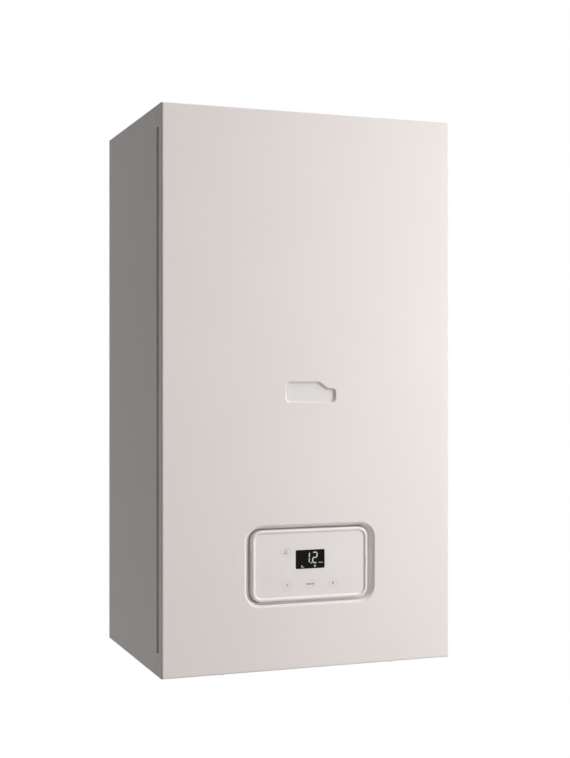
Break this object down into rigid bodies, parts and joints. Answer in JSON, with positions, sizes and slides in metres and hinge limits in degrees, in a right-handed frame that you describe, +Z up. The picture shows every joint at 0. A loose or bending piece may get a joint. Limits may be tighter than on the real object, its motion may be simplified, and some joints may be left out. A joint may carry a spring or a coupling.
{
  "type": "wall-hung gas boiler",
  "caption": "Tall white wall-hung gas boiler: sheet casing with pull-off front cover, recessed control panel with keys and display, heat exchanger, fan, gas valve, pump and pipework inside.",
  "frame": {"origin": "on the wall plane at the middle of the casing's bottom edge", "axes": "+Z up, +Y into the wall, +X to the right seen from the front; the front faces -Y"},
  "size_m": [0.41, 0.3, 0.789],
  "materials": {
    "casing_paint": "satin powder coat",
    "chassis_steel": "zinc coated sheet",
    "fascia_plastic": "fine satin",
    "key_plastic": "fine satin",
    "display_glass": "polished",
    "badge_blank": "satin",
    "dark_plastic": "fine grain",
    "grey_plastic": "fine grain",
    "board_laminate": "solder mask",
    "black_rubber": "matt",
    "seal_foam": "closed cell",
    "vessel_paint": "gloss paint",
    "stainless_steel": "drawn",
    "cast_aluminium": "as cast",
    "turned_brass": "turned",
    "copper_tube": "drawn",
    "zinc_fasteners": "zinc plated",
    "flue_plastic": "moulded",
    "red_plastic": "moulded",
    "blue_plastic": "moulded",
    "pump_iron": "painted",
    "electrode_ceramic": "glazed",
    "steel_tube": "yellow passivated"
  },
  "bodies": {
    "casing": {"left_side_panel": "casing_paint", "right_side_panel": "casing_paint", "top_panel": "casing_paint", "base_plate": "chassis_steel", "back_frame": "chassis_steel", "wall_bracket": "chassis_steel", "carrier_brackets": "chassis_steel", "cover_seal": "seal_foam", "pin_grommets": "black_rubber", "fascia": "fascia_plastic", "display_board": "board_laminate", "display_window": "display_glass", "control_box": "dark_plastic", "control_box_lid": "grey_plastic", "main_board": "board_laminate", "mains_cable_gland": "dark_plastic", "expansion_vessel": "vessel_paint", "vessel_hose": "black_rubber", "exchanger_shell": "stainless_steel", "exchanger_coil": "stainless_steel", "burner_door": "cast_aluminium", "door_nuts": "zinc_fasteners", "burner_tube": "stainless_steel", "electrodes": "electrode_ceramic", "mixture_manifold": "cast_aluminium", "fan_housing": "cast_aluminium", "fan_motor": "dark_plastic", "mixing_venturi": "dark_plastic", "gas_valve": "cast_aluminium", "gas_valve_coils": "dark_plastic", "gas_pipe": "steel_tube", "ignition_transformer": "dark_plastic", "flue_duct": "flue_plastic", "flue_adapter": "flue_plastic", "flow_block": "turned_brass", "return_block": "turned_brass", "plate_heat_exchanger": "stainless_steel", "pump_housing": "pump_iron", "pump_motor": "dark_plastic", "exchanger_pipes": "copper_tube", "heating_unions": "turned_brass", "tap_water_pipes": "copper_tube", "diverter_actuator": "grey_plastic", "safety_valve": "turned_brass", "air_vent": "turned_brass", "condensate_hose": "black_rubber", "condensate_siphon": "flue_plastic"},
    "front_cover": {"front_cover": "casing_paint", "badge_plate": "badge_blank", "locating_pins": "zinc_fasteners", "cover_screws": "zinc_fasteners"},
    "reset_key": {"key_reset": "key_plastic"},
    "left_key": {"key_left": "key_plastic"},
    "middle_key": {"key_mode": "key_plastic"},
    "right_key": {"key_right": "key_plastic"},
    "fan_wheel": {"fan_impeller": "cast_aluminium"},
    "pump_wheel": {"pump_impeller": "stainless_steel"},
    "diverter_rod": {"diverter_spindle": "stainless_steel"},
    "safety_knob": {"safety_valve_knob": "red_plastic"},
    "filling_handle": {"filling_tap_handle": "blue_plastic"}
  },
  "joints": [
    {"name": "front_cover_pull", "type": "slide", "parent": "casing", "child": "front_cover", "axis": [0, -1, 0], "range_m": [0, 0.45]},
    {"name": "reset_key_press", "type": "slide", "parent": "casing", "child": "reset_key", "axis": [0, 1, 0], "range_m": [0, 0.0008], "stiffness_N_per_m": 600},
    {"name": "left_key_press", "type": "slide", "parent": "casing", "child": "left_key", "axis": [0, 1, 0], "range_m": [0, 0.0008], "stiffness_N_per_m": 600},
    {"name": "middle_key_press", "type": "slide", "parent": "casing", "child": "middle_key", "axis": [0, 1, 0], "range_m": [0, 0.0008], "stiffness_N_per_m": 600},
    {"name": "right_key_press", "type": "slide", "parent": "casing", "child": "right_key", "axis": [0, 1, 0], "range_m": [0, 0.0008], "stiffness_N_per_m": 600},
    {"name": "fan_spin", "type": "hinge", "parent": "casing", "child": "fan_wheel", "pos_m": [0.051, -0.24, 0.268], "axis": [0, 1, 0], "continuous": true},
    {"name": "pump_spin", "type": "hinge", "parent": "casing", "child": "pump_wheel", "pos_m": [0.062, -0.132, 0.117], "axis": [0, 1, 0], "continuous": true},
    {"name": "diverter_shift", "type": "slide", "parent": "casing", "child": "diverter_rod", "axis": [0, 0, -1], "range_m": [0, 0.006]},
    {"name": "safety_knob_turn", "type": "hinge", "parent": "casing", "child": "safety_knob", "pos_m": [0.13, -0.205, 0.062], "axis": [0, -1, 0], "range_deg": [0, 90]},
    {"name": "filling_tap_turn", "type": "hinge", "parent": "casing", "child": "filling_handle", "pos_m": [0.094, -0.15, -0.012], "axis": [0, 0, -1], "range_deg": [0, 90]}
  ]
}
